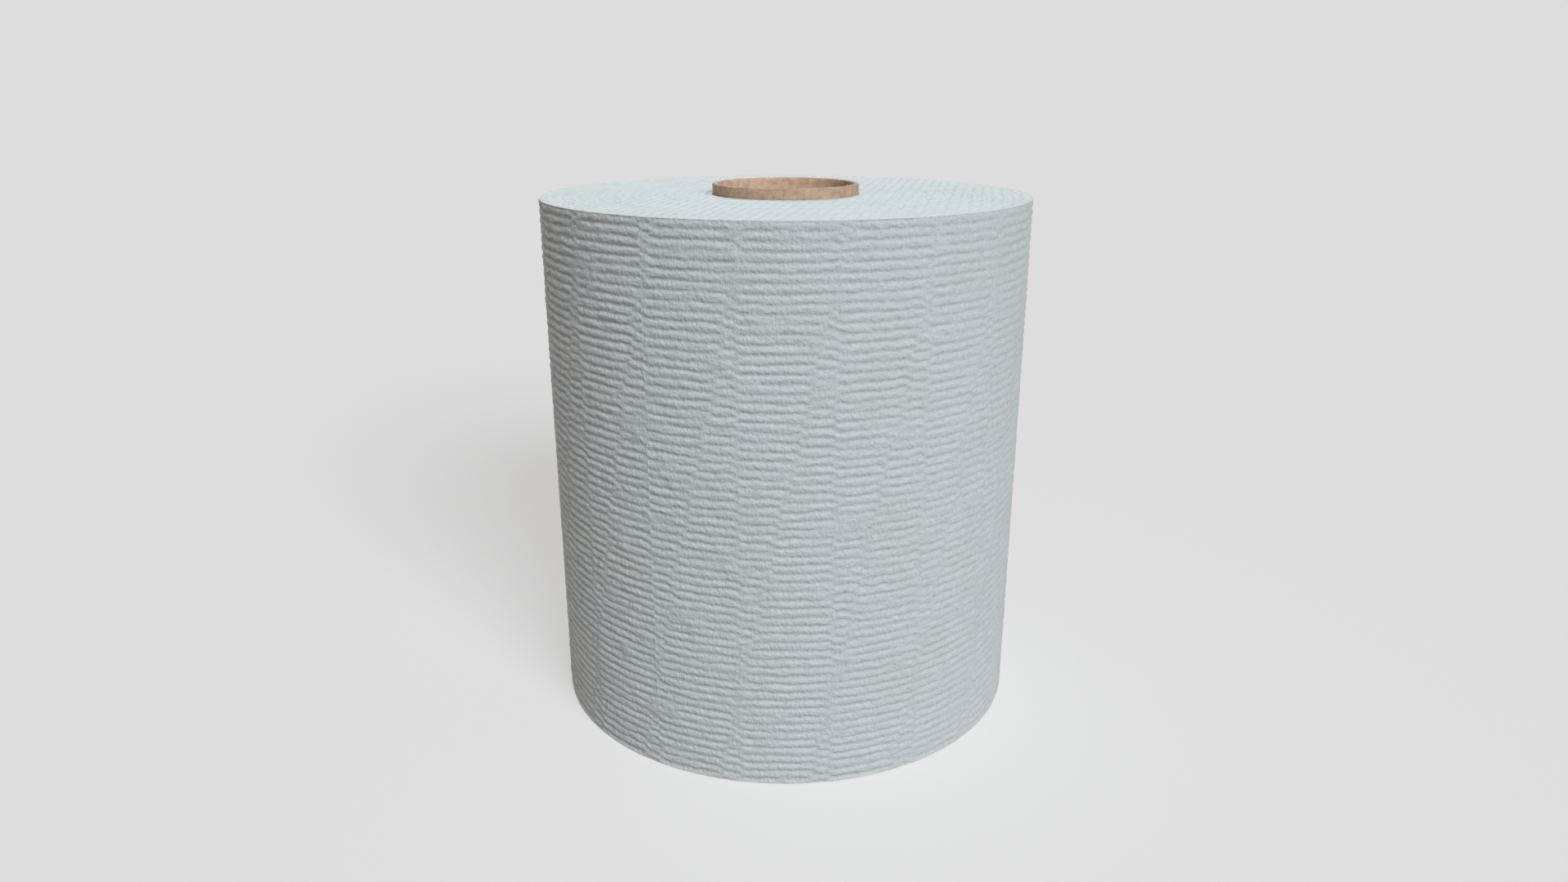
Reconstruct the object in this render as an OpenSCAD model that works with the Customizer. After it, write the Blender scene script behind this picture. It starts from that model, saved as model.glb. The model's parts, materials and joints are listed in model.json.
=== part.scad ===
// Toilet paper roll: a web of creped tissue wound on a cardboard core, standing on its end.
// The origin is the middle of the lower paper end, +Z runs up the core and the front faces -Y.
// Lengths are in millimetres and angles in degrees.

/* [Roll] */
// Width of the tissue web, which is the height of the paper
web_width = 114; // [90:1:130]
// Diameter of the full roll, over the crepe ridges of the last turn
roll_diameter = 106.6; // [90:0.2:130]
// Thickness of the web, which is the step where the last turn ends
web_thickness = 0.4; // [0.2:0.05:0.8]
// Direction of the tail, the free end of the web, round the core from +X
tail_angle = 120; // [0:5:355]

/* [Crepe] */
// Distance from one crepe ridge to the next, up the roll
ridge_pitch = 1.83; // [1.5:0.01:3]
// Height of a ridge over the valleys beside it
ridge_height = 0.25; // [0.15:0.05:0.4]
// Number of crepe bands round the roll, where neighbours are half a pitch out of step
band_count = 18; // [12:2:36]
// Width of the crease between two bands
crease_width = 0.4; // [0.3:0.1:1]
// Depth of a crease under the lowest valley of the last turn
crease_depth = 0.1; // [0.05:0.05:0.3]
// Plain hem of the last turn between its ridges and each cut end
hem = 0.3; // [0.2:0.1:1]

/* [Wound ends] */
// Distance between two turn lines on a cut end
turn_pitch = 1.8; // [1.4:0.1:4]
// Width of a turn line
turn_line_width = 0.35; // [0.2:0.05:0.6]
// Depth of a turn line
turn_line_depth = 0.3; // [0.1:0.05:0.6]
// Plain margin between the turn lines and both edges of a cut end
end_margin = 1.2; // [0.8:0.1:3]

/* [Core] */
// Outer diameter of the cardboard core
core_diameter = 32; // [26:0.5:46]
// Wall of the core
core_wall = 1.1; // [0.6:0.1:2]
// How far the core stands out of the upper paper end
core_proud = 2.3; // [0:0.1:6]
// Gap between the core and the first turn
core_gap = 0.1; // [0.05:0.05:0.3]
// Eased edge at both ends of the core
core_edge = 0.2; // [0.1:0.05:0.3]

/* [Hidden] */
$fn = 96;
// How far a cutting shape runs past the faces that it cuts
cut_past = 1;
tissue = [0.86, 0.90, 0.91];
cardboard = [0.66, 0.53, 0.43];
roll_radius = roll_diameter / 2;
core_radius = core_diameter / 2;
bore_radius = core_radius + core_gap;
band_angle = 360 / band_count;
crease_angle = crease_width / roll_radius * 180 / PI;
// The turn below the last one: every valley of the last turn lies outside it
under_radius = roll_radius - web_thickness - ridge_height - crease_depth;
// Crests and valleys alternate every half pitch, in a whole number of steps between the hems
step_count = round((web_width - 2 * hem) / (ridge_pitch / 2));
half_pitch = (web_width - 2 * hem) / step_count;
first_turn = bore_radius + end_margin + turn_pitch / 4;
turn_count = floor((under_radius - end_margin - turn_pitch / 4 - turn_line_width - first_turn) / turn_pitch);

// Section of one crepe band: ridges that run round the roll, on a backing that reaches the turn below
module band_section(radius, phase) {
  backing = under_radius - web_thickness;
  polygon([
    [backing, hem],
    for (step = [0 : step_count])
      [radius - (step + phase) % 2 * ridge_height, hem + step * half_pitch],
    [backing, web_width - hem]
  ]);
}

// The last turn: bands that step inwards from the tail, so that the turn is one lap of a spiral
module last_turn() {
  for (band = [1 : band_count])
    rotate([0, 0, tail_angle - band * band_angle])
      rotate_extrude(angle = band_angle - crease_angle)
        band_section(roll_radius - web_thickness * (band - 1) / band_count, band % 2);
}

// Half a turn line: its centre lies a quarter pitch to one side, which joins the halves into a spiral
module half_turn_line(radius, side) {
  translate([side * turn_pitch / 4, 0, 0])
    rotate([0, 0, side > 0 ? 180 : 0])
      rotate_extrude(angle = 180)
        translate([radius, -turn_line_depth])
          square([turn_line_width, 2 * turn_line_depth]);
}

// The spiral of turn lines on one cut end
module turn_lines() {
  rotate([0, 0, tail_angle])
    for (half = [0 : 2 * turn_count - 1])
      half_turn_line(first_turn + half * turn_pitch / 2, half % 2 == 0 ? -1 : 1);
}

module paper_roll() {
  color(tissue)
    difference() {
      union() {
        cylinder(h = web_width, r = under_radius);
        last_turn();
      }
      translate([0, 0, -cut_past])
        cylinder(h = web_width + 2 * cut_past, r = bore_radius);
      turn_lines();
      translate([0, 0, web_width])
        turn_lines();
    }
}

// Section of the core wall, with all four edges eased
module core_section() {
  inner = core_radius - core_wall;
  polygon([
    [inner, core_edge],
    [inner + core_edge, 0],
    [core_radius - core_edge, 0],
    [core_radius, core_edge],
    [core_radius, web_width - core_edge],
    [core_radius - core_edge, web_width],
    [inner + core_edge, web_width],
    [inner, web_width - core_edge]
  ]);
}

// Paper and core are sawn to one length together, so a proud core is one that has slid up
module core_tube() {
  color(cardboard)
    translate([0, 0, core_proud])
      rotate_extrude()
        core_section();
}

paper_roll();
core_tube();
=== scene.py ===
import json
import math
from collections import namedtuple

import bpy
import numpy as np
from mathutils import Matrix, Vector


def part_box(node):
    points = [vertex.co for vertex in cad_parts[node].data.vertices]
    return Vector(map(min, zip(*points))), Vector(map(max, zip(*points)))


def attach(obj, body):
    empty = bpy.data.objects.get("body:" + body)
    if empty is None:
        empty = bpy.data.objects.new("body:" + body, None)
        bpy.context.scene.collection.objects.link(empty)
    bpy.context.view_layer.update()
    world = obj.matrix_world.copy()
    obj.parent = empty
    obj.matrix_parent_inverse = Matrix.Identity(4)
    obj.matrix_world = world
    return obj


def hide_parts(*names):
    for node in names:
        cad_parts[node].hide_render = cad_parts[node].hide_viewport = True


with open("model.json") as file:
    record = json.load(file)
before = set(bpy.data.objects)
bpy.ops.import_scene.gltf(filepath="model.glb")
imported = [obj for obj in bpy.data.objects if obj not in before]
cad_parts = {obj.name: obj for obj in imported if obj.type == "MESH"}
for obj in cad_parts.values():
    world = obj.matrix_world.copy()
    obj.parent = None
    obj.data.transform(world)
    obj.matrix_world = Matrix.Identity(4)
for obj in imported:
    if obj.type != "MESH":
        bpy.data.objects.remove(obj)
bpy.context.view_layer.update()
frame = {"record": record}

# Lengths are in metres, in the frame of the CAD model: +Z up the core, the front faces -Y.
# Angles round the roll are in degrees from the front to the right.
MM = 0.001
paper_low, paper_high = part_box("paper_roll")
core_low, core_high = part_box("core_tube")
mounts = {mount["name"]: mount for mount in frame["record"]["mounts"]}
PAPER_HEIGHT = paper_high.z - paper_low.z
CORE_BASE = core_low.z
CORE_TOP = core_high.z
CORE_RADIUS = (core_high.x - core_low.x) / 2
CORE_BORE = mounts["spindle_bore"]["dims"]["r_mm"] * MM
CORE_GAP = 0.1 * MM
PAPER_BORE = CORE_RADIUS + CORE_GAP
# Radius over the ridges at the tail, where the last turn ends
ROLL_RADIUS = 53.3 * MM

# Random fields: strength, size of the features along the first and the second coordinate, and seed
Field = namedtuple("Field", "strength first second seed")

# The last turn: one lap of a spiral, three sheets long, with its free tail at the back
SHEET_THICKNESS = 0.4 * MM
SHEET_COUNT = 3
SHEET_ANGLE = 360 / SHEET_COUNT
SHEET_COLUMNS = 171
ROWS_PER_RIDGE = 8
TAIL_ANGLE = 210
TAIL_LIFT = 0.6 * MM
TAIL_LIFT_LENGTH = 9 * MM
TAIL_TEAR_LENGTH = 4 * MM
TOOTH_PITCH = 4.2 * MM
TOOTH_DEPTH = 0.35 * MM
TOOTH_ROUGHNESS = Field(0.5, 2 * MM, 1, 10)

# The crepe: ridges round the roll that drop by half a pitch at each fault. Every sector has an upright
# fault and a slanted one, which runs from that upright fault up to the next.
RIDGE_COUNT = 62
RIDGE_PITCH = PAPER_HEIGHT / RIDGE_COUNT
RIDGE_HEIGHT = 0.31 * MM
RIDGE_WOBBLES = (
    Field(0.06, 8 * MM, 5 * MM, 3),
    Field(0.07, 2.4 * MM, 1.5 * MM, 4),
    Field(0.08, 1.1 * MM, 0.9 * MM, 11),
)
SECTOR_ANGLE = 20
SECTOR = math.radians(SECTOR_ANGLE) * ROLL_RADIUS
FAULT_STEP = 0.5
FAULT_WIDTH = 0.75 * MM
FAULT_WANDER = Field(0.02, 9 * MM, 5 * MM, 1)
SLANT_TOP = PAPER_HEIGHT - 10 * MM
SLANT_BOTTOM = PAPER_HEIGHT - 94 * MM
SLANT_WANDER = Field(0.05, 12 * MM, 4 * MM, 2)

# The valleys of the crepe. Depths, lumps and fades are shares of the ridge height.
VALLEY_SHARPNESS = 1.9
VALLEY_DEPTH = 0.8
VALLEY_CHANGES = Field(0.27, 4 * MM, 1, 5)
DEEP_SPOTS = Field(1, 2.5 * MM, 1, 12)
DEEP_SPOT_LEVEL = 0.6
DEEP_SPOT_DEPTH = 0.6
ROUGH_SPOTS = Field(1, 6 * MM, 4 * MM, 6)
ROUGH_SPOT_LEVEL = 0.5
ROUGH_SPOT_FADE = 0.6
ROUGH_LUMPS = Field(0.45, 2.2 * MM, 1.4 * MM, 9)
LUMPS = (Field(0.22, 1.6 * MM, 1 * MM, 7), Field(0.2, 0.8 * MM, 0.5 * MM, 8))
SPOT_EDGE = 0.3
FAULT_FADE = 0.35
FAULT_REACH = 0.6 * MM
HEM = 0.5 * MM
HEM_RELIEF = 0.25
# What lies deeper than the first share is squeezed into the second, so no valley cuts through the sheet
DEEP = 0.8
DEEP_REST = 0.3

# The wound turns: a shallow spiral of turn lines on both cut ends
TURN_COLUMNS = 360
TURN_RINGS = 120
TURN_MARGIN_RINGS = 3
TURN_GAP = 0.05 * MM
TURN_PITCH = 1.8 * MM
TURN_DEPTH = 0.16 * MM
TURN_SHARPNESS = 4
# Shares of that depth: a line's own, how it changes, and the lumps all over an end
TURN_LINE = 0.7
TURN_LINE_CHANGES = Field(0.5, 14 * MM, 1, 20)
TURN_LUMPS = (Field(0.35, 9 * MM, 1 / 2, 21), Field(0.2, 3 * MM, 1 / 3, 22))
# What the upper and the lower end add to the seeds
END_SEEDS = (0, 10)

# The core tube
CORE_COLUMNS = 256
CORE_INNER_ROWS = 150
CORE_OUTER_ROWS = 40
CORE_EDGE = 0.25 * MM
CORE_SHOULDER = 0.3 * CORE_EDGE
SEAM_PITCH = 85 * MM
SEAM_WIDTH = 0.7 * MM
SEAM_DEPTH = 0.12 * MM
BOARD_SWELL = Field(0.04 * MM, 24, 12 * MM, 40)
RIM_FRAY = Field(0.08 * MM, 3, 0.4 * MM, 41)
RIM_SINK = 0.04 * MM

# Textures of the materials: features per metre, detail and roughness
Texture = namedtuple("Texture", "scale detail roughness")
BLOTCHES = Texture(55.0, 4.0, 0.5)
SPECKS = Texture(650.0, 1.0, 0.5)
FIBRES = Texture(1250.0, 3.0, 0.6)
GRAIN = Texture(2100.0, 2.0, 0.5)
END_FIBRES = Texture(2600.0, 3.0, 0.6)
SAW_BREAKS = Texture(110.0, 3.0, 0.5)
BOARD_BLOTCHES = Texture(700.0, 5.0, 0.65)
BOARD_FIBRES = Texture(1500.0, 3.0, 0.6)
# Scales of the coordinates: the grain is longer upwards, the fibres of the board are longer round it
GRAIN_STRETCH = (1.0, 1.0, 0.75)
BOARD_STRETCH = (1.0, 1.0, 4.0)

# Waves on the cut ends: the edges of the single layers, and the saw marks
LAYER_PITCH = SHEET_THICKNESS
LAYER_DISTORTION = 2.0
SAW_PITCH = 2.1 * MM
SAW_DISTORTION = 2.5
SAW_TURN = math.radians(11)
WAVE_DETAIL = 2.0
WAVE_DETAIL_SCALE = 1.5
# Blender's wave texture runs through this many radians a unit at scale 1
WAVE_RADIANS = 20

# Depths of the bumps
FIBRE_BUMP = 0.3 * MM
GRAIN_BUMP = 0.09 * MM
LAYER_BUMP = 0.05 * MM
SAW_BUMP = 0.24 * MM
END_FIBRE_BUMP = 0.04 * MM
BOARD_BUMP = 0.12 * MM

# Tints: colours at places on a ramp from 0 to 1
WHITE = (1.0, 1.0, 1.0)
TISSUE_TINT = ((0.35, (0.814, 0.819, 0.809)), (0.5, (0.829, 0.836, 0.843)), (0.7, (0.834, 0.845, 0.855)))
SPECK_TINT = ((0.17, (0.80, 0.75, 0.66)), (0.24, WHITE))
FIBRE_TINT = ((0.35, (0.93, 0.93, 0.93)), (0.6, WHITE))
GRAIN_TINT = ((0.3, (0.93, 0.93, 0.93)), (0.6, WHITE))
# Painted shade: the valleys of the crepe are darkened, with a faint warm tint
VALLEY_SHADE_TINT = ((0.15, WHITE), (0.95, (0.965, 0.96, 0.945)))
# Painted shade: the turn-line grooves on the cut ends are darkened with their depth
TURN_LINE_SHADE = ((0.1, (0.985, 1.0, 1.0)), (0.7, (0.92, 0.925, 0.91)))
SAW_BREAK_TINT = ((0.3, (0.3, 0.3, 0.3)), (0.5, WHITE))
BOARD_TINT = ((0.3, (0.657, 0.440, 0.316)), (0.5, (0.862, 0.595, 0.438)), (0.7, (0.980, 0.724, 0.554)))
BOARD_FIBRE_TINT = ((0.3, (0.88, 0.87, 0.85)), (0.6, WHITE))
# Partly a real difference of the plies, partly painted light: the outside darkened against bounce light,
# the rim and bore kept lighter against their shade
PLY_TINT_AND_PAINTED_LIGHT = ((0.0, (0.72, 0.695, 0.665)), (1.0, WHITE))

# The camera, with its sensor and lens in millimetres
CAMERA_PLACE = (-0.33 * MM, -239.1 * MM, 135.1 * MM)
CAMERA_PITCH = math.radians(18.145)
CAMERA_SENSOR = 36
CAMERA_LENS = 24.444
CAMERA_NEAR = 10 * MM

# Lamps: azimuth, elevation and spread in degrees, strength, colour, and what they light
Lamp = namedtuple("Lamp", "azimuth elevation spread strength colour lights")
COOL = (0.89, 1.0, 1.04)
NEUTRAL = (0.95, 1.0, 0.975)
LAMPS = {
    "key": Lamp(29.5, 30, 30, 1.95, COOL, "all"),
    "back": Lamp(190, 43, 30, 1.37, COOL, "roll"),
    "bounce": Lamp(121, -50.5, 50, 0.8, COOL, "roll"),
    "sky": Lamp(-91, 59, 60, 0.69, NEUTRAL, "paper"),
}

# The even fill light, the brightness of the backdrop, and the round floor
FILL = (0.145, 0.136, 0.132)
BACKDROP = 0.723
FLOOR_GLOW = 0.5
FLOOR_RADIUS = 6.0
FLOOR_CORNERS = 120
FLOOR_DROP = 0.2 * MM

# Multipliers and shifts that scatter whole numbers over 32 bits
SCATTER_FIRST = np.uint32(374761393)
SCATTER_SECOND = np.uint32(668265263)
SCATTER_SEED = 974634619
SCATTER_MIX = np.uint32(1274126177)
SCATTER_SHIFT = np.uint32(13)
SCATTER_LAST_SHIFT = np.uint32(16)


def ease(x):
    """Smooth step from 0 to 1 as x goes from 0 to 1."""
    x = np.clip(x, 0, 1)
    return x * x * (3 - 2 * x)


def lattice(ix, iy, seed):
    """Repeatable random values from -1 to 1 at whole-number points."""
    mixed = ix.astype(np.uint32) * SCATTER_FIRST + iy.astype(np.uint32) * SCATTER_SECOND
    mixed = mixed + np.uint32(seed * SCATTER_SEED % 2**32)
    mixed = (mixed ^ (mixed >> SCATTER_SHIFT)) * SCATTER_MIX
    mixed = mixed ^ (mixed >> SCATTER_LAST_SHIFT)
    return mixed / 2**31 - 1


def noise(x, y, seed):
    """Smooth random values from -1 to 1, with features about one unit across."""
    ix = np.floor(x).astype(np.int64)
    iy = np.floor(y).astype(np.int64)
    sx = ease(x - ix)
    sy = ease(y - iy)
    low = lattice(ix, iy, seed) * (1 - sx) + lattice(ix + 1, iy, seed) * sx
    high = lattice(ix, iy + 1, seed) * (1 - sx) + lattice(ix + 1, iy + 1, seed) * sx
    return low * (1 - sy) + high * sy


def spread(field, x, y, more_seed=0):
    """Values of a random field at two coordinates."""
    return field.strength * noise(x / field.first, y / field.second, field.seed + more_seed)


def spots(values, level):
    """Soft-edged spots, from 0 to 1, where random values rise over a level."""
    return ease((values - level) / SPOT_EDGE)


def stair(x, width):
    """Staircase that climbs by one at each whole number, with smooth risers of this width."""
    step = np.round(x)
    return step - 0.5 + ease((x - step) / width + 0.5)


def grooves(phase, sharpness):
    """Grooves at each whole number: 1 in the middle of a groove, 0 midway between two."""
    return ((1 + np.cos(2 * np.pi * phase)) / 2) ** sharpness


def crepe(arc, height):
    """Relief of the crepe on the unrolled last turn: 1 on a ridge, 0 in a full valley."""
    # Faults lie at whole numbers, and the front lies midway between two upright ones
    upright = arc / SECTOR + 0.5 + spread(FAULT_WANDER, arc, height)
    slant = (height - SLANT_BOTTOM) / (SLANT_TOP - SLANT_BOTTOM)
    slanted = upright - slant + spread(SLANT_WANDER, arc, height)
    riser = FAULT_WIDTH / SECTOR
    wobble = sum(spread(part, arc, height) for part in RIDGE_WOBBLES)
    phase = height / RIDGE_PITCH + FAULT_STEP * (stair(upright, riser) + stair(slanted, riser)) + wobble

    depth = VALLEY_DEPTH + spread(VALLEY_CHANGES, arc, phase)
    depth = depth + DEEP_SPOT_DEPTH * spots(spread(DEEP_SPOTS, arc, phase), DEEP_SPOT_LEVEL)
    for fault in (upright, slanted):
        off_fault = (fault - np.round(fault)) * SECTOR
        depth = depth * (1 - FAULT_FADE * np.exp(-((off_fault / FAULT_REACH) ** 2)))
    rough = spots(spread(ROUGH_SPOTS, arc, height), ROUGH_SPOT_LEVEL)
    depth = depth * (1 - ROUGH_SPOT_FADE * rough)
    lumps = sum(spread(part, arc, height) for part in LUMPS) + rough * spread(ROUGH_LUMPS, arc, height)

    off_hem = ease(np.minimum(height, PAPER_HEIGHT - height) / HEM)
    hollow = grooves(phase, VALLEY_SHARPNESS) * depth - lumps
    hollow = hollow * (HEM_RELIEF + (1 - HEM_RELIEF) * off_hem)
    too_deep = np.maximum(hollow - DEEP, 0) / DEEP_REST
    return 1 - np.minimum(hollow, DEEP) - DEEP_REST * np.tanh(too_deep)


def turn_radius(angle):
    """Crest radius of the last turn, which grows up to the tail."""
    return ROLL_RADIUS - SHEET_THICKNESS * (TAIL_ANGLE - angle) / 360


def on_roll(angle, radius, height):
    """Points of the roll from their angles, radii and heights."""
    around = np.radians(angle)
    return np.stack((radius * np.sin(around), -radius * np.cos(around), height), axis=-1)


def quads(corners):
    """Faces of a grid of corner numbers, row by row."""
    around = (corners[:-1, :-1], corners[:-1, 1:], corners[1:, 1:], corners[1:, :-1])
    return np.stack(around, axis=-1).reshape(-1, 4).tolist()


def ring_faces(rows, columns):
    """Faces of a ring: its section runs down the outside, and both rows and columns close."""
    corners = np.arange(rows * columns).reshape(rows, columns)
    return [face[::-1] for face in quads(np.pad(corners, (0, 1), mode="wrap"))]


def sheet_faces(outer, inner, torn):
    """Faces of a closed sheet from its corners: outside, two cut edges, inside, start and tail."""
    tail = np.concatenate((inner[:1, -1], torn, inner[1:, -1]))
    faces = quads(outer)
    faces += quads(np.stack((inner[0], outer[0])))
    faces += quads(np.stack((outer[-1], inner[1])))
    faces += quads(inner[::-1, :-1])
    faces.append(np.concatenate((outer[:, 0], inner[::-1, 0])).tolist())
    faces.append(np.concatenate((inner[:, -2], tail[::-1])).tolist())
    faces += quads(np.stack((outer[:, -1], tail), axis=1))
    return faces


def add_piece(name, points, faces, border, hollow, material, node):
    """Smooth piece on the body, sharp between border points, with its hollows marked from 0 to 1."""
    mesh = bpy.data.meshes.new(name)
    mesh.from_pydata(points.reshape(-1, 3).tolist(), [], faces)
    mesh.update()
    ends = np.empty(len(mesh.edges) * 2, dtype=np.int32)
    mesh.edges.foreach_get("vertices", ends)
    sharp = border[ends.reshape(-1, 2)].all(axis=1)
    mesh.attributes.new("sharp_edge", "BOOLEAN", "EDGE").data.foreach_set("value", sharp)
    mesh.polygons.foreach_set("use_smooth", np.ones(len(mesh.polygons), dtype=bool))
    mesh.attributes.new("hollow", "FLOAT", "POINT").data.foreach_set("value", hollow.ravel())
    mesh.materials.append(material)
    piece = bpy.data.objects.new(name, mesh)
    bpy.context.collection.objects.link(piece)
    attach(piece, "root")
    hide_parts(node)
    return piece


def outer_sheet(index, material):
    """One sheet of the last turn: a closed thin shell with the crepe on its outside."""
    end = TAIL_ANGLE - index * SHEET_ANGLE
    angles = np.linspace(end - SHEET_ANGLE, end, SHEET_COLUMNS)
    heights = np.linspace(0, PAPER_HEIGHT, RIDGE_COUNT * ROWS_PER_RIDGE + 1)
    angle, height = np.meshgrid(angles, heights)
    relief = crepe(np.radians(angle) * ROLL_RADIUS, height)

    # The tail lifts off the roll and is torn into small teeth
    before_tail = np.radians(TAIL_ANGLE - angle) * ROLL_RADIUS
    lift = TAIL_LIFT * ease(1 - before_tail / TAIL_LIFT_LENGTH) ** 2
    tooth = np.abs((height / TOOTH_PITCH) % 1 - 0.5) * 2 + spread(TOOTH_ROUGHNESS, height, 0 * height)
    tear = TOOTH_DEPTH * tooth * ease(1 - before_tail / TAIL_TEAR_LENGTH)
    angle_torn = angle + np.degrees(tear / ROLL_RADIUS)

    # The inside is plain: only its two cut edges and the tail have points
    crest = turn_radius(angle) + lift
    under = crest - SHEET_THICKNESS
    cut = [0, -1]
    between = slice(1, -1)
    outside = on_roll(angle_torn, crest - RIDGE_HEIGHT * (1 - relief), height)
    inside = on_roll(angle_torn[cut], under[cut], height[cut])
    tail = on_roll(angle_torn[between, -1], under[between, -1], height[between, -1])
    points = np.concatenate([part.reshape(-1, 3) for part in (outside, inside, tail)])

    outer = np.arange(angle.size).reshape(angle.shape)
    inner = outer.size + np.arange(2 * SHEET_COLUMNS).reshape(2, SHEET_COLUMNS)
    faces = sheet_faces(outer, inner, np.arange(outer.size + inner.size, len(points)))
    border = np.ones(len(points), dtype=bool)
    border[outer[between, between]] = False
    # The hollow mark of the outside carries the painted shade of the valleys
    hollow = np.zeros(len(points))
    hollow[outer] = np.clip(1 - relief, 0, 1)
    name = f"outer_sheet_{index + 1}"
    return add_piece(name, points, faces, border, hollow, material, "paper_roll")


def wound_turns(material):
    """The turns under the last one: a closed ring with a shallow spiral on both cut ends."""
    angles = np.linspace(TAIL_ANGLE - 360, TAIL_ANGLE, TURN_COLUMNS, endpoint=False)
    angle, share = np.meshgrid(angles, np.linspace(0, 1, TURN_RINGS + 1))
    outer = turn_radius(angle) - SHEET_THICKNESS - TURN_GAP
    radius = PAPER_BORE + (outer - PAPER_BORE) * share
    arc = np.radians(angle) * radius
    turn = (radius - PAPER_BORE) / TURN_PITCH - angle / 360
    line = grooves(turn, TURN_SHARPNESS)
    rings = share * TURN_RINGS
    off_margin = ease(rings / TURN_MARGIN_RINGS) * ease((TURN_RINGS - rings) / TURN_MARGIN_RINGS)
    depths = []
    for more_seed in END_SEEDS:
        line_depth = TURN_LINE + spread(TURN_LINE_CHANGES, arc, turn, more_seed)
        lumps = sum(spread(part, arc, turn, more_seed) for part in TURN_LUMPS)
        depths.append(TURN_DEPTH * (line * line_depth - lumps) * off_margin)
    upper, lower = depths

    # The lower end has no lumps that would lift the roll off its standing face
    top = on_roll(angle, radius, PAPER_HEIGHT - upper)
    bottom = on_roll(angle, radius, np.maximum(lower, 0))
    points = np.concatenate((top, bottom[::-1]))
    rows = len(points)
    faces = ring_faces(rows, TURN_COLUMNS)
    border = np.zeros((rows, TURN_COLUMNS), dtype=bool)
    border[[0, TURN_RINGS, TURN_RINGS + 1, rows - 1]] = True
    # The hollow mark of the ends carries the painted shade of the turn-line grooves
    hollow = np.clip(np.concatenate((upper, lower[::-1])) / TURN_DEPTH, 0, 1)
    return add_piece("wound_turns", points, faces, border.ravel(), hollow, material, "paper_roll")


def core_board(material):
    """The core: a wound tube with a helical ply seam, eased edges and a slightly frayed rim."""
    low = CORE_BASE + CORE_EDGE
    high = CORE_TOP - CORE_EDGE
    middle = (CORE_RADIUS + CORE_BORE) / 2
    low_rim = [
        (CORE_RADIUS - CORE_SHOULDER, CORE_BASE + CORE_SHOULDER),
        (CORE_RADIUS - CORE_EDGE, CORE_BASE),
        (middle, CORE_BASE),
        (CORE_BORE + CORE_EDGE, CORE_BASE),
        (CORE_BORE + CORE_SHOULDER, CORE_BASE + CORE_SHOULDER),
    ]
    section = [(CORE_RADIUS, z) for z in np.linspace(high, low, CORE_OUTER_ROWS)]
    section += low_rim
    section += [(CORE_BORE, z) for z in np.linspace(low, high, CORE_INNER_ROWS)]
    section += [(r, CORE_TOP + CORE_BASE - z) for r, z in reversed(low_rim)]
    rows = len(section)
    radius, height = (np.repeat(values, CORE_COLUMNS).reshape(rows, -1) for values in zip(*section))
    angle = np.tile(np.linspace(-180, 180, CORE_COLUMNS, endpoint=False), (rows, 1))

    seam = (angle / 360 + height / SEAM_PITCH) % 1 - 0.5
    groove = SEAM_DEPTH * np.exp(-((seam * 2 * np.pi * middle / SEAM_WIDTH) ** 2))
    into_wall = np.where(radius > middle, -1.0, 1.0)
    swell = spread(BOARD_SWELL, angle, height)
    near_rim = ease((height - (CORE_TOP - 2 * CORE_EDGE)) / CORE_EDGE)
    fray = near_rim * (spread(RIM_FRAY, angle, radius) - RIM_SINK)
    points = on_roll(angle, radius + into_wall * groove + swell, height + fray)
    faces = ring_faces(rows, CORE_COLUMNS)
    border = np.zeros(angle.size, dtype=bool)
    # The rim and the bore count as hollow, the outer ply doesn't. The mark keeps the rim and bore
    # lighter than the outside, partly as painted light against the shade in the bore.
    hollow = np.where(radius < CORE_RADIUS - CORE_EDGE / 2, 1.0, 0.0)
    return add_piece("core_board", points, faces, border, hollow, material, "core_tube")


def new_material(name):
    """Material with nodes, and its shader."""
    material = bpy.data.materials.new(name)
    material.use_nodes = True
    return material, material.node_tree.nodes["Principled BSDF"]


def add_place(tree):
    """Coordinates on the piece itself."""
    return tree.nodes.new("ShaderNodeTexCoord").outputs["Object"]


def add_hollow(tree):
    """The piece's own mark of its hollows."""
    attribute = tree.nodes.new("ShaderNodeAttribute")
    attribute.attribute_name = "hollow"
    return attribute.outputs["Fac"]


def add_mapping(tree, vector, turn=0.0, stretch=(1.0, 1.0, 1.0)):
    """Coordinates scaled, then turned about Z."""
    mapping = tree.nodes.new("ShaderNodeMapping")
    mapping.inputs["Rotation"].default_value = (0.0, 0.0, turn)
    mapping.inputs["Scale"].default_value = stretch
    tree.links.new(vector, mapping.inputs["Vector"])
    return mapping.outputs["Vector"]


def add_noise(tree, vector, texture):
    """Noise from 0 to 1."""
    node = tree.nodes.new("ShaderNodeTexNoise")
    node.inputs["Scale"].default_value = texture.scale
    node.inputs["Detail"].default_value = texture.detail
    node.inputs["Roughness"].default_value = texture.roughness
    tree.links.new(vector, node.inputs["Vector"])
    return node.outputs["Fac"]


def add_wave(tree, vector, kind, pitch, distortion):
    """Waves of this pitch: straight bands across X or rings round Z."""
    wave = tree.nodes.new("ShaderNodeTexWave")
    wave.wave_type = kind
    if kind == "RINGS":
        wave.rings_direction = "Z"
    else:
        wave.bands_direction = "X"
    wave.inputs["Scale"].default_value = 2 * math.pi / (WAVE_RADIANS * pitch)
    wave.inputs["Distortion"].default_value = distortion
    wave.inputs["Detail"].default_value = WAVE_DETAIL
    wave.inputs["Detail Scale"].default_value = WAVE_DETAIL_SCALE
    tree.links.new(vector, wave.inputs["Vector"])
    return wave.outputs["Fac"]


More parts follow.
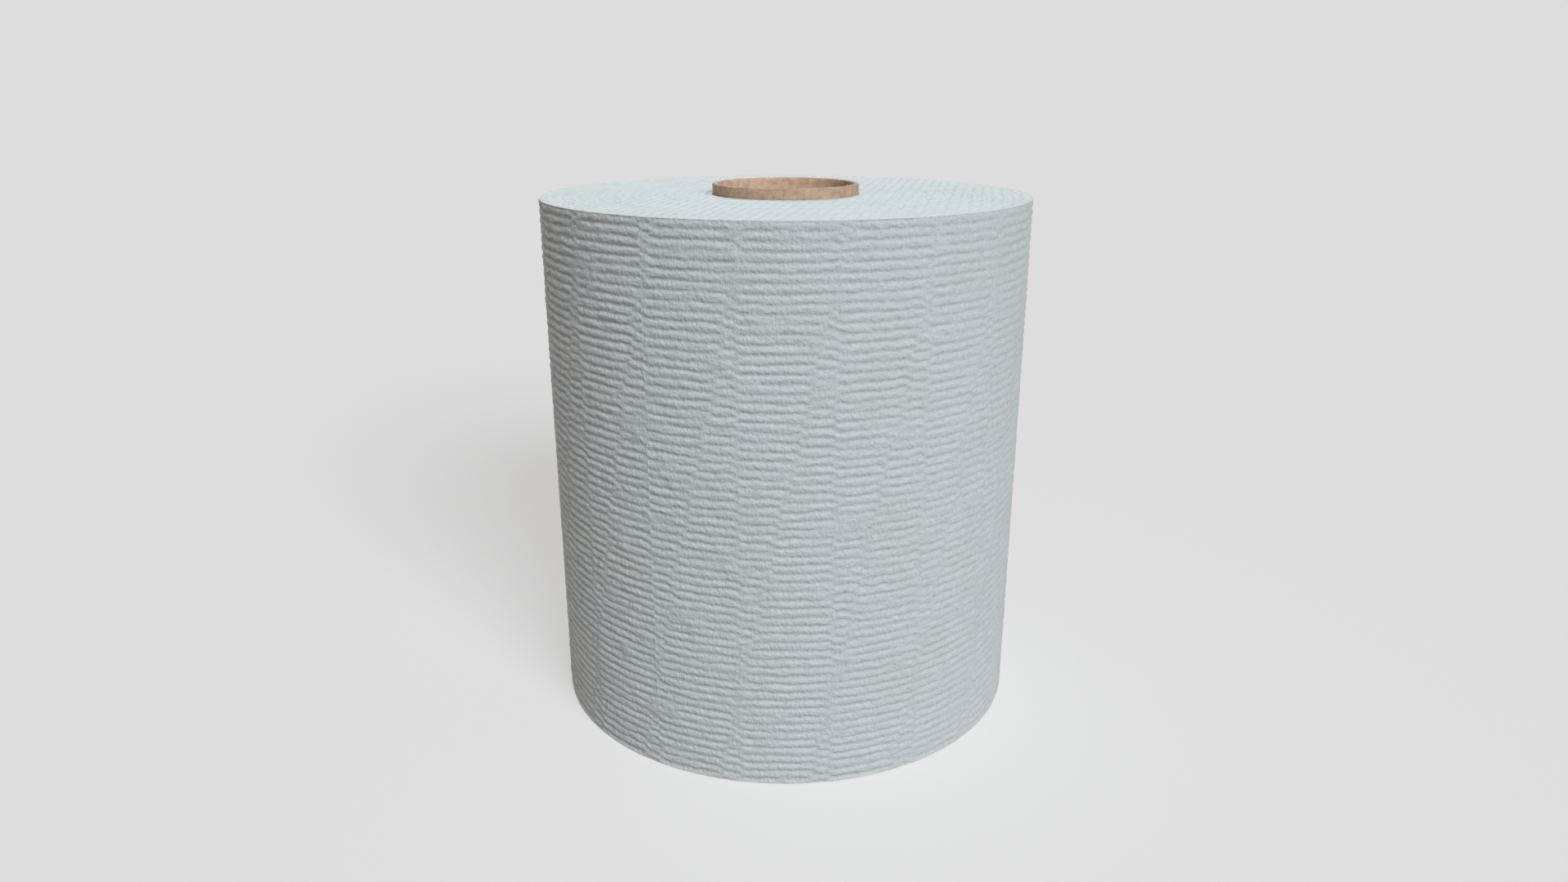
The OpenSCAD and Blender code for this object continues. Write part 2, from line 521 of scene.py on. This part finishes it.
def add_ramp(tree, value, stops):
    """Colour ramp over a value, from its places and colours."""
    ramp = tree.nodes.new("ShaderNodeValToRGB")
    elements = ramp.color_ramp.elements
    while len(elements) < len(stops):
        elements.new(0.5)
    for element, (position, colour) in zip(elements, stops):
        element.position = position
        element.color = (*colour, 1.0)
    tree.links.new(value, ramp.inputs["Fac"])
    return ramp.outputs["Color"]


def add_multiply(tree, first, second):
    """Product of two colours."""
    mix = tree.nodes.new("ShaderNodeMix")
    mix.data_type = "RGBA"
    mix.blend_type = "MULTIPLY"
    mix.inputs["Factor"].default_value = 1.0
    tree.links.new(first, mix.inputs["A"])
    tree.links.new(second, mix.inputs["B"])
    return mix.outputs["Result"]


def add_bump(tree, height, distance, below=None):
    """Bump of a height field, this many metres deep, on top of another bump."""
    bump = tree.nodes.new("ShaderNodeBump")
    bump.inputs["Strength"].default_value = 1.0
    bump.inputs["Distance"].default_value = distance
    tree.links.new(height, bump.inputs["Height"])
    if below is not None:
        tree.links.new(below, bump.inputs["Normal"])
    return bump.outputs["Normal"]


def dress(tree, shader, tint, relief, roughness, specular):
    """Give a shader its colour, its relief and its sheen."""
    tree.links.new(tint, shader.inputs["Base Color"])
    tree.links.new(relief, shader.inputs["Normal"])
    shader.inputs["Roughness"].default_value = roughness
    shader.inputs["Specular IOR Level"].default_value = specular


def tissue_tint(tree, place):
    """White tissue with a faint blotchy tint, a mottle of fibres and a few tiny darker specks."""
    blotch = add_ramp(tree, add_noise(tree, place, BLOTCHES), TISSUE_TINT)
    speck = add_ramp(tree, add_noise(tree, place, SPECKS), SPECK_TINT)
    mottle = add_ramp(tree, add_noise(tree, place, FIBRES), FIBRE_TINT)
    return add_multiply(tree, add_multiply(tree, blotch, mottle), speck)


def creped_tissue():
    """Outside of the web: fibres, a fine grain, and painted shade that makes the valleys a little darker
    and warmer than the ridges.
    """
    material, shader = new_material("creped_tissue")
    tree = material.node_tree
    place = add_place(tree)
    # Painted shade in the valleys of the crepe
    valley_shade = add_ramp(tree, add_hollow(tree), VALLEY_SHADE_TINT)
    grain = add_noise(tree, add_mapping(tree, place, stretch=GRAIN_STRETCH), GRAIN)
    speckle = add_ramp(tree, grain, GRAIN_TINT)
    tint = add_multiply(tree, add_multiply(tree, tissue_tint(tree, place), valley_shade), speckle)
    relief = add_bump(tree, add_noise(tree, place, FIBRES), FIBRE_BUMP)
    relief = add_bump(tree, grain, GRAIN_BUMP, relief)
    dress(tree, shader, tint, relief, roughness=0.95, specular=0.15)
    return material


def cut_tissue():
    """Sawn ends of the web: edges of the single layers, faint saw marks straight across, and painted
    shade in the turn-line grooves.
    """
    material, shader = new_material("cut_tissue")
    tree = material.node_tree
    place = add_place(tree)
    # Painted shade, darker deeper in the turn-line grooves
    line = add_ramp(tree, add_hollow(tree), TURN_LINE_SHADE)
    tint = add_multiply(tree, tissue_tint(tree, place), line)
    layers = add_wave(tree, place, "RINGS", LAYER_PITCH, LAYER_DISTORTION)
    saw = add_wave(tree, add_mapping(tree, place, turn=SAW_TURN), "BANDS", SAW_PITCH, SAW_DISTORTION)
    saw = add_multiply(tree, saw, add_ramp(tree, add_noise(tree, place, SAW_BREAKS), SAW_BREAK_TINT))
    relief = add_bump(tree, layers, LAYER_BUMP)
    relief = add_bump(tree, saw, SAW_BUMP, relief)
    relief = add_bump(tree, add_noise(tree, place, END_FIBRES), END_FIBRE_BUMP, relief)
    dress(tree, shader, tint, relief, roughness=0.95, specular=0.12)
    return material


def cardboard():
    """Brown board with blotches, fibres along the winding and a darker outer ply, partly painted light:
    the outside is darkened against the light bounced onto it, the rim and bore kept lighter against
    their shade.
    """
    material, shader = new_material("cardboard")
    tree = material.node_tree
    place = add_place(tree)
    blotch = add_ramp(tree, add_noise(tree, place, BOARD_BLOTCHES), BOARD_TINT)
    fibres = add_noise(tree, add_mapping(tree, place, stretch=BOARD_STRETCH), BOARD_FIBRES)
    mottle = add_ramp(tree, fibres, BOARD_FIBRE_TINT)
    # Darker outer ply, partly painted light against the bounce outside and the shade in the bore
    ply_and_painted_light = add_ramp(tree, add_hollow(tree), PLY_TINT_AND_PAINTED_LIGHT)
    tint = add_multiply(tree, add_multiply(tree, blotch, mottle), ply_and_painted_light)
    relief = add_bump(tree, fibres, BOARD_BUMP)
    dress(tree, shader, tint, relief, roughness=0.9, specular=0.2)
    return material


def add_camera():
    """Camera in front of the roll and above it, looking down at its middle."""
    lens = bpy.data.cameras.new("camera")
    lens.sensor_width = CAMERA_SENSOR
    lens.lens = CAMERA_LENS
    lens.clip_start = CAMERA_NEAR
    camera = bpy.data.objects.new("camera", lens)
    camera.location = CAMERA_PLACE
    camera.rotation_euler = (math.pi / 2 - CAMERA_PITCH, 0.0, 0.0)
    bpy.context.collection.objects.link(camera)
    bpy.context.scene.camera = camera


def add_lamp(name, lamp):
    """Distant lamp that shines at the roll."""
    light = bpy.data.lights.new(name, "SUN")
    light.energy = lamp.strength
    light.color = lamp.colour
    light.angle = math.radians(lamp.spread)
    holder = bpy.data.objects.new(name, light)
    azimuth = math.radians(lamp.azimuth)
    elevation = math.radians(lamp.elevation)
    level = math.cos(elevation)
    towards = Vector((math.sin(azimuth) * level, -math.cos(azimuth) * level, math.sin(elevation)))
    holder.rotation_euler = towards.to_track_quat("Z", "Y").to_euler()
    bpy.context.collection.objects.link(holder)
    return holder


def add_lamps(paper, core):
    """Key lamp for all, and weaker lamps that light the roll or its paper alone."""
    lit_alone = {"roll": [*paper, core], "paper": paper}
    for name, lamp in LAMPS.items():
        holder = add_lamp(name, lamp)
        if lamp.lights in lit_alone:
            alone = bpy.data.collections.new(f"lit by {name}")
            for piece in lit_alone[lamp.lights]:
                alone.objects.link(piece)
            holder.light_linking.receiver_collection = alone
            holder.light_linking.blocker_collection = alone


def add_world():
    """Even fill light, and the plain backdrop that the camera sees in its place."""
    world = bpy.data.worlds.new("studio")
    world.use_nodes = True
    bpy.context.scene.world = world
    tree = world.node_tree
    fill = tree.nodes["Background"]
    fill.inputs["Color"].default_value = (*FILL, 1.0)
    backdrop = tree.nodes.new("ShaderNodeBackground")
    backdrop.inputs["Color"].default_value = (BACKDROP, BACKDROP, BACKDROP, 1.0)
    seen = tree.nodes.new("ShaderNodeLightPath").outputs["Is Camera Ray"]
    either = tree.nodes.new("ShaderNodeMixShader")
    tree.links.new(seen, either.inputs[0])
    tree.links.new(fill.outputs[0], either.inputs[1])
    tree.links.new(backdrop.outputs[0], either.inputs[2])
    tree.links.new(either.outputs[0], tree.nodes["World Output"].inputs["Surface"])


def add_floor():
    """Glowing floor as pale as the backdrop, so that the shadow on it stays weak."""
    around = np.radians(np.linspace(0, 360, FLOOR_CORNERS, endpoint=False))
    rim = np.stack((np.cos(around), np.sin(around), 0 * around), axis=-1) * FLOOR_RADIUS
    mesh = bpy.data.meshes.new("floor")
    mesh.from_pydata(rim.tolist(), [], [list(range(len(rim)))])
    floor = bpy.data.objects.new("floor", mesh)
    floor.location.z = -FLOOR_DROP
    bpy.context.collection.objects.link(floor)
    material, shader = new_material("floor")
    key = LAMPS["key"]
    level_light = key.strength * math.sin(math.radians(key.elevation)) / math.pi
    daylight = [fill + level_light * colour for fill, colour in zip(FILL, key.colour)]
    shade = [(BACKDROP - FLOOR_GLOW) / level for level in daylight]
    shader.inputs["Base Color"].default_value = (*shade, 1.0)
    shader.inputs["Roughness"].default_value = 1.0
    shader.inputs["Specular IOR Level"].default_value = 0.0
    shader.inputs["Emission Color"].default_value = (*WHITE, 1.0)
    shader.inputs["Emission Strength"].default_value = FLOOR_GLOW
    mesh.materials.append(material)
    floor.visible_diffuse = False


web = creped_tissue()
paper = [outer_sheet(index, web) for index in range(SHEET_COUNT)]
paper.append(wound_turns(cut_tissue()))
core = core_board(cardboard())
add_camera()
add_lamps(paper, core)
add_world()
add_floor()
bpy.context.scene.view_settings.view_transform = "Standard"
